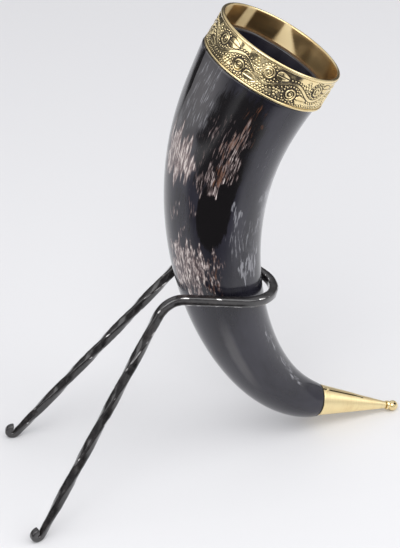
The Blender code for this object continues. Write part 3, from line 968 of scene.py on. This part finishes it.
def vineRelief(u, v, height):
    # Height of the embossed work, 0 to 1, at u along the strip and v above its lower edge
    w = vine
    girth = 2 * np.pi * rim["radius"]
    wave = girth / w["repeats"]
    middle = height / 2
    beadPitch = girth / w["beadCount"]

    def stemHeight(place):
        return middle + w["swing"] * np.sin(2 * np.pi * place / wave)

    def dome(distance, size):
        edge, rise = w["dome"]
        return edge + rise * np.sqrt(np.clip(1 - (distance / size) ** 2, 0.0, 1.0))

    slope = np.sqrt(1 + (w["swing"] * 2 * np.pi / wave * np.cos(2 * np.pi * u / wave)) ** 2)
    fromStem = np.abs(v - stemHeight(u)) / slope
    relief = np.full(u.shape, w["ground"])
    # Bead row along the lower edge
    nearest = np.round(u / beadPitch) * beadPitch
    far = np.hypot(u - nearest, v - w["edgeBeads"])
    relief = lay(relief, far - w["bead"], dome(far, w["bead"]), w["groove"])
    # Stem drawn by two rows of beads
    relief = lay(relief, fromStem - w["stemWidth"], np.full(u.shape, w["ground"]), w["groove"] * 0.6)
    for side in (-1, 1):
        far = np.hypot(u - nearest, v - stemHeight(nearest) - side * w["stemBeads"] * slope)
        relief = lay(relief, far - w["bead"], dome(far, w["bead"]), w["groove"])
    for k in range(2 * w["repeats"]):
        up = 1 if k % 2 else -1
        # A leaf and a bunch of grapes where the stem crosses the middle
        gu = (u - k * wave / 2 + girth / 2) % girth - girth / 2
        lu = gu / w["leafLength"]
        lv = (v - middle + up * w["leafOffset"]) / w["leafWidth"]
        reach = np.hypot(lu, lv * (1 + w["leafTaper"] * lu)) - 1
        veins = np.where(np.abs(lv) < w["veinWidth"], w["veinLevel"], w["leafLevel"])
        relief = lay(relief, reach * w["leafWidth"], veins, w["groove"])
        for line in range(3):
            for spot in range(3 - line):
                x = (spot - (2 - line) / 2) * w["grapePitch"]
                y = middle + up * (w["grapeOffset"] + line * w["grapeRow"])
                far = np.hypot(gu - x, v - y)
                relief = lay(relief, far - w["grape"], dome(far, w["grape"]), w["groove"] * 0.8)
        # A volute in each hollow of the stem, with beads round it
        du = (u - (k + 0.5) * wave / 2 + girth / 2) % girth - girth / 2
        dv = v - middle - up * w["voluteOffset"]
        far = np.hypot(du, dv)
        turn = np.arctan2(dv * up, du)
        ringPitch = 2 * np.pi / w["ringBeads"]
        spaced = np.round(turn / ringPitch) * ringPitch
        ring = w["voluteRadius"] + w["ringOffset"]
        bead = np.hypot(du - ring * np.cos(spaced), dv * up - ring * np.sin(spaced))
        relief = lay(relief, bead - w["bead"], dome(bead, w["bead"]), w["groove"])
        coil = 0.5 + 0.5 * np.cos(2 * np.pi * far / w["volutePitch"] - turn)
        coil = np.clip(w["coilRise"] * coil - w["coilDrop"], 0.0, 1.0)
        relief = lay(relief, far - w["voluteRadius"], coil, w["groove"])
        relief = lay(relief, far - w["eye"], dome(far, w["eye"]), w["groove"])
    return np.clip(relief, 0.0, 1.0)


def makeStrip(finish):
    r = rim
    low = r["hemHeight"] + fit
    high = r["height"] - r["lipHeight"] - fit
    inner = r["radius"] - r["stripWall"]
    angles = fullTurn(vine["columns"])
    heights = low + (high - low) * np.arange(vine["rows"]) / (vine["rows"] - 1)
    u = np.tile(angles * r["radius"], (vine["rows"], 1))
    v = np.tile((heights - low)[:, None], (1, vine["columns"]))
    relief = vineRelief(u, v, high - low)
    dents = vine["dents"] * (np.sin(3 * angles + 1.1) + np.sin(8 * angles) * 0.6)
    spread = spreadRound(angles, rimHollow)
    rings = [rimOrigin + low * rimUp + inner * spread]
    shares = [np.zeros(vine["columns"])]
    for height, row in zip(heights, relief):
        radius = r["radius"] - vine["depth"] + vine["depth"] * row + dents
        rings.append(rimOrigin + height * rimUp + radius[:, None] * spread)
        shares.append(row)
    rings.append(rimOrigin + high * rimUp + inner * spread)
    shares.append(np.zeros(vine["columns"]))
    mesh = ringMesh("rimStrip", rings, wrap=True)
    addFloats(mesh, "relief", np.array(shares))
    # Broad darker and brighter stretches: wax, and towards the viewer painted shade and painted
    # highlight
    wax = np.zeros(vine["columns"])
    for turn, half, depth in vine["wax"]:
        away = np.abs(fromMiddle(np.degrees(angles) - turn)) / half
        wax += depth * (1 - smoothStep(away - 0.5))
    addFloats(mesh, "wax", np.tile(wax, (len(rings), 1)))
    putPiece("rimStrip", mesh, "horn", "embossed_brass", finish, "rim_strip")


cone = {
    "length": 0.049,
    "radius": 0.0100,
    "endRadius": 0.0022,
    "wall": 0.0008,
    "seamTurn": math.radians(8.0),  # from the top towards the viewer
    "lap": 0.00055,
    "lapWidth": math.radians(70.0),
    "seamLength": 0.031,
    "seamWidth": math.radians(3.0),
    "notch": 0.0018,
    "edgeRound": 0.00022,
    "steps": 240,
}


def makeCone(finish):
    c = cone
    seam = math.pi - c["seamTurn"]
    angles = seam + (np.arange(c["steps"]) + 0.5) / c["steps"] * 2 * np.pi
    sinceSeam = angles - seam
    lapShare = smoothStep(1 - sinceSeam / c["lapWidth"])
    outerHeights = fit + np.concatenate([[0.0, 0.0002], np.linspace(0.0006, c["length"] - fit, 60)])
    profile = []
    rings = []
    spread = -spreadRound(angles, tipHollow)

    def addRing(height, radius, lap):
        profile.append((radius, height))
        rings.append(tipOrigin + height * tipOut + (radius + lap * lapShare)[:, None] * spread)

    slope = (c["endRadius"] - c["radius"]) / c["length"]
    for i, height in enumerate(outerHeights):
        rounded = c["edgeRound"] if i == 0 else 0.0
        runOut = smoothStep((height - c["seamLength"] * 0.7) / (c["seamLength"] * 0.3))
        addRing(height, c["radius"] + slope * height - rounded, c["lap"] * (1 - runOut))
    for height in (c["length"], fit):
        addRing(height, c["radius"] + slope * height - c["wall"], 0.0)
    mesh = ringMesh("tipCone", rings, wrap=True)
    lineVectors(mesh, profile, angles, c["radius"])
    # Painted shade in the seam, at the foot of the step: a dark line where the lap leaves a gap
    heights = np.array([height for _, height in profile])[:, None]
    notched = 1 + 1.5 * (heights > c["seamLength"] - c["notch"])
    foot = smoothStep((sinceSeam - 2 * np.pi) / (c["seamWidth"] * notched) + 1.5)
    foot = np.where(sinceSeam < c["seamWidth"] / 3, 1.0, foot)
    addFloats(mesh, "seam", foot * (heights < c["seamLength"]))
    putPiece("tipCone", mesh, "horn", "bright_brass", finish, "tip_cone")


bar = {
    "side": 0.0058,
    "rounding": 0.0017,
    "footSide": 0.0044,
    "footTaper": 0.024,
    "pitch": math.radians(-13.7),
    "roll": math.radians(7.5),  # the back arm lies lower than the front arm
    "slack": 0.0052,
    "frontArm": 0.0458,
    "backArm": 0.0156,
    "frontFoot": (-0.1289, -0.0593),
    "backFoot": (-0.1251, 0.0391),
    "bend": 0.015,
    "scrollRadius": 0.0028,
    "scrollTurn": math.radians(240.0),
    "footFlat": 0.0004,
    "twist": math.radians(360.0),
    "step": 0.0011,
    "hammer": 0.00014,
    "hammerSizes": (190, 430),
    "rubbing": 1.5,  # edges are rubbed bare more often the higher they lie
    "rubbingStart": 0.25,
    "rubbingSize": 260,
    "rubbingEdge": 0.30,
    "cornerPoints": 5,
    "forkSteps": 72,
    "bendSteps": 20,
    "armSteps": 12,
    "scrollSteps": 44,
}


def bendPoints(corner, coming, going):
    turn = coming.angle(going)
    axis = coming.cross(going).normalized()
    start = corner - bar["bend"] * math.tan(turn / 2) * coming
    centre = start + bar["bend"] * axis.cross(coming)
    steps = bar["bendSteps"]
    return [centre + Quaternion(axis, turn * i / steps) @ (start - centre) for i in range(steps + 1)]


def limbPath(armEnd, corner, foot, normal):
    # One arm with its leg and curled foot: points, one side of the bar at each, and its thickness
    b = bar
    out = Vector((foot.x - corner.x, foot.y - corner.y, 0))
    span = out.length
    out.normalize()
    plane = out.cross(Vector((0, 0, 1)))
    curlMiddle = Vector((foot.x, foot.y, b["footSide"] / 2 - b["footFlat"] + b["scrollRadius"]))
    fall = curlMiddle.z - corner.z
    straight = math.sqrt(span**2 + fall**2 - b["scrollRadius"] ** 2)
    slope = math.atan2(fall, span) - math.atan2(b["scrollRadius"], straight)
    going = out * math.cos(slope) + Vector((0, 0, math.sin(slope)))
    coming = (corner - armEnd).normalized()

    curve = bendPoints(corner, coming, going)
    points = [armEnd.lerp(curve[0], i / b["armSteps"]) for i in range(1, b["armSteps"])] + curve
    legFirst = len(points)
    legEnd = corner + straight * going
    leg = legEnd - curve[-1]
    count = round(leg.length / b["step"])
    points += [curve[-1] + leg * i / count for i in range(1, count + 1)]
    legLast = len(points)
    for i in range(1, b["scrollSteps"] + 1):
        turn = Quaternion(plane, b["scrollTurn"] * i / b["scrollSteps"])
        points.append(curlMiddle + turn @ (legEnd - curlMiddle))

    sides = [normal]
    before = coming
    for first, second in zip(points, points[1:]):
        now = (second - first).normalized()
        sides.append(before.rotation_difference(now) @ sides[-1])
        before = now
    carried = sides[legLast - 1]
    leftOver = math.atan2(carried.cross(plane).dot(going), carried.dot(plane)) % (math.pi / 2)
    sizes = []
    for i, point in enumerate(points):
        share = min(max((i - legFirst) / (legLast - legFirst), 0.0), 1.0)
        axis = (points[min(i + 1, len(points) - 1)] - points[max(i - 1, 0)]).normalized()
        sides[i] = Quaternion(axis, (b["twist"] + leftOver) * share) @ sides[i]
        toFoot = (legEnd - point).length if i < legLast else 0.0
        taper = float(smoothStep(toFoot / b["footTaper"]))
        sizes.append(b["footSide"] + (b["side"] - b["footSide"]) * taper)
    return points, sides, sizes


def barSection(size):
    rounding = bar["rounding"] * size / bar["side"]
    reach = (size / 2 - rounding) * math.sqrt(2)
    last = bar["cornerPoints"] - 1
    corners = []
    for quarter in range(4):
        middle = math.pi / 2 * quarter + math.pi / 4
        for i in range(bar["cornerPoints"]):
            angle = math.pi / 2 * (quarter + i / last)
            x = reach * math.cos(middle) + rounding * math.cos(angle)
            y = reach * math.sin(middle) + rounding * math.sin(angle)
            corners.append((x, y))
    return corners


def makeStand(finish):
    b = bar
    grip = Vector(onCentreline(hornShape["forkStation"])[0])
    forward = Vector((math.cos(b["pitch"]), 0, math.sin(b["pitch"])))
    across = Quaternion(forward, -b["roll"]) @ Vector(sideways)
    normal = forward.cross(across)
    radius = float(hornRadius(hornShape["forkStation"] - b["side"])) + fit + b["side"] / 2
    centre = grip + b["slack"] * forward + radius * (across - Vector(sideways))
    turns = [math.pi * (i / b["forkSteps"] - 0.5) for i in range(b["forkSteps"] + 1)]
    fork = [centre + radius * (math.cos(a) * forward + math.sin(a) * across) for a in turns]
    limbs = []
    for armEnd, length, foot in (
        (fork[0], b["frontArm"], b["frontFoot"]),
        (fork[-1], b["backArm"], b["backFoot"]),
    ):
        ground = Vector((grip.x + foot[0], grip.y + foot[1], 0))
        limbs.append(limbPath(armEnd, armEnd - length * forward, ground, normal))
    front, back = limbs
    points = front[0][::-1] + fork + back[0]
    sides = front[1][::-1] + [normal] * len(fork) + back[1]
    sizes = front[2][::-1] + [b["side"]] * len(fork) + back[2]

    rings = []
    rubbed = []
    broad, fine = b["hammerSizes"]
    for i, point in enumerate(points):
        along = (points[min(i + 1, len(points) - 1)] - points[max(i - 1, 0)]).normalized()
        up = (sides[i] - sides[i].dot(along) * along).normalized()
        wide = along.cross(up)
        ring = []
        for k, (x, y) in enumerate(barSection(sizes[i])):
            offset = x * up + y * wide
            place = point + offset
            struck = noise.noise(place * broad) + 0.6 * noise.noise(place * fine)
            place = place + offset.normalized() * (b["hammer"] * (struck - 0.5))
            ring.append((place.x, place.y, max(place.z, 0.0)))
            worn = noise.noise(place * b["rubbingSize"]) + b["rubbing"] * place.z - b["rubbingStart"]
            onEdge = k % b["cornerPoints"] == b["cornerPoints"] // 2
            rubbed.append(float(smoothStep(worn / b["rubbingEdge"])) if onEdge else 0.0)
        rings.append(ring)
    mesh = ringMesh("standBar", rings, poles=(True, True))
    addFloats(mesh, "rubbed", rubbed)
    putPiece("standBar", mesh, "stand", "black_iron", finish, "stand_bar")


def finishCadNodes(brass, cement):
    turn = knob["holeTurn"]
    toKnob = nodes["tip_finial"].matrix_world.inverted()
    middle = toKnob @ Vector(tipOrigin + knob["distance"] * tipOut)
    axis = toKnob.to_3x3() @ Vector(math.cos(turn) * tipHollow - math.sin(turn) * sideways)
    hole = (tuple(middle), tuple(axis.normalized()), knob["holeRadius"])
    # The knob's hole is painted dark: painted shade
    drilled = makeBrass("knobBrass", drilled=hole)
    for name, finish in (
        ("rim_bedding", cement),
        ("tip_bedding", cement),
        ("tip_pin", brass),
        ("tip_finial", drilled),
    ):
        node = nodes[name]
        node.data.materials.clear()
        node.data.materials.append(finish)


camera = {
    "azimuth": math.radians(-15.358),
    "elevation": math.radians(36.0),
    "distance": 1.19773,
    "target": (-0.00544, 0.0105, 0.13408),
    "lens": 131.39,
}

studio = {
    "floorColour": (0.80, 0.80, 0.81),
    "floorRoughness": 0.6,
    "floorSpecular": 0.2,
    "floorSize": 8.0,
    "darkReflectionColour": (0.02, 0.02, 0.02),  # painted dark reflection: the floor in front is painted dark for reflected rays only, standing in for a dark card
    "darkReflectionStart": (0.10, 0.19),
    "darkReflectionLeft": (-0.60, -0.40),
    "darkReflectionRight": (0.20, 0.13),
    "tableReach": (0.85, 1.10),  # beyond it, on the left and behind, reflections find no bright floor
    "tableOpen": (0.50, 0.10),
    "worldLow": (0.14, 0.14, 0.15),  # dark walls, in reflections only
    "worldOpen": (0.80, 0.80, 0.82),  # towards the front and the right
    "worldTurn": (0.0, 0.5),
    "worldHigh": (1.0, 1.0, 1.03),
    "worldRise": (0.12, 0.55),
    "worldSeen": (0.90, 0.90, 0.91),
    "worldStrength": 0.71,
    # name: place, aim, width, height, watts
    "lights": {
        "softFront": ((-0.35, -0.65, 1.20), (0.0, -0.1, 0.1), 0.9, 0.9, 7.2),
        "softLeft": ((-1.00, -0.10, 0.75), (0.0, 0.0, 0.15), 0.6, 0.9, 2.2),
        "softRight": ((0.80, -0.30, 0.90), (0.1, 0.0, 0.05), 0.8, 0.8, 3.9),
    },
}


def makeFloor():
    s = studio
    half = s["floorSize"] / 2
    mesh = bpy.data.meshes.new("floor")
    corners = [(-half, -half, 0), (half, -half, 0), (half, half, 0), (-half, half, 0)]
    mesh.from_pydata(corners, [], [(0, 1, 2, 3)])
    finish, tree, shader = newMaterial("paleFloor")
    turned = tree.node("Mapping", {"Vector": tree.onObject()}, vector_type="TEXTURE")
    turned.inputs["Rotation"].default_value = (0, 0, camera["azimuth"])
    place = tree.node("SeparateXYZ", {"Vector": turned.outputs["Vector"]})
    forward = tree.times(place.outputs["Y"], -1.0)
    aside = place.outputs["X"]
    left = tree.between(aside, *s["darkReflectionLeft"])
    right = tree.between(aside, *s["darkReflectionRight"])
    darkInReflections = tree.times(left, right)
    darkInReflections = tree.times(darkInReflections, tree.between(forward, *s["darkReflectionStart"]))
    away = tree.vectors("LENGTH", turned.outputs["Vector"], output="Value")
    closed = tree.between(tree.math("ADD", aside, forward), *s["tableOpen"])
    far = tree.times(tree.between(away, *s["tableReach"]), closed)
    darkInReflections = tree.math("MAXIMUM", darkInReflections, far)
    # Painted dark reflection: only reflected rays see the floor dark here
    darkInReflections = tree.times(darkInReflections, tree.node("LightPath").outputs["Is Glossy Ray"])
    tree.fill(shader, {
        "Base Color": tree.mix(darkInReflections, s["floorColour"], s["darkReflectionColour"]),
        "Roughness": s["floorRoughness"],
        "Specular IOR Level": s["floorSpecular"],
    })
    mesh.materials.append(finish)
    floor = bpy.data.objects.new("floor", mesh)
    bpy.context.scene.collection.objects.link(floor)


def makeLights():
    for name, (place, aim, width, height, watts) in studio["lights"].items():
        data = bpy.data.lights.new(name, "AREA")
        data.shape = "RECTANGLE"
        data.size = width
        data.size_y = height
        data.energy = watts
        lamp = bpy.data.objects.new(name, data)
        lamp.location = place
        lamp.rotation_euler = (Vector(aim) - Vector(place)).to_track_quat("-Z", "Y").to_euler()
        bpy.context.scene.collection.objects.link(lamp)


def makeWorld():
    s = studio
    world = bpy.data.worlds.new("studio")
    world.use_nodes = True
    tree = Tree(world.node_tree)
    background = world.node_tree.nodes["Background"]
    way = tree.node("SeparateXYZ", {"Vector": tree.node("TexCoord").outputs["Generated"]})
    sideOn = tree.math("SUBTRACT", way.outputs["X"], way.outputs["Y"])
    low = tree.mix(tree.between(sideOn, *s["worldTurn"]), s["worldLow"], s["worldOpen"])
    around = tree.mix(tree.between(way.outputs["Z"], *s["worldRise"]), low, s["worldHigh"])
    seen = tree.node("LightPath").outputs["Is Camera Ray"]
    tree.feed(background.inputs["Color"], tree.mix(seen, around, s["worldSeen"]))
    background.inputs["Strength"].default_value = s["worldStrength"]
    bpy.context.scene.world = world


def makeCamera():
    c = camera
    data = bpy.data.cameras.new("view")
    data.lens = c["lens"]
    data.sensor_width = 36.0
    data.sensor_fit = "AUTO"
    back = Vector(
        (
            math.sin(c["azimuth"]) * math.cos(c["elevation"]),
            -math.cos(c["azimuth"]) * math.cos(c["elevation"]),
            math.sin(c["elevation"]),
        )
    )
    eye = bpy.data.objects.new("view", data)
    eye.location = Vector(c["target"]) + c["distance"] * back
    eye.rotation_euler = (math.pi / 2 - c["elevation"], 0, c["azimuth"])
    bpy.context.scene.collection.objects.link(eye)
    bpy.context.scene.camera = eye


makeCamera()
makeFloor()
makeLights()
makeWorld()
bpy.context.scene.view_settings.view_transform = "Standard"
print("studio ready")

brightBrass = makeBrass("brightBrass")
makeHorn(makeHornMaterial())
print("horn made")
makeSleeve(makeBrass("sleeveBrass", scouredLitAndShadedInside=True))
makeHem(brightBrass)
makeStrip(makeEmbossedBrass())
print("rim made")
makeCone(makeBrass("tipBrass", satin=0.20, seamed=True))
finishCadNodes(brightBrass, makeCement())
print("tip made")
makeStand(makeIron())
print("stand made")
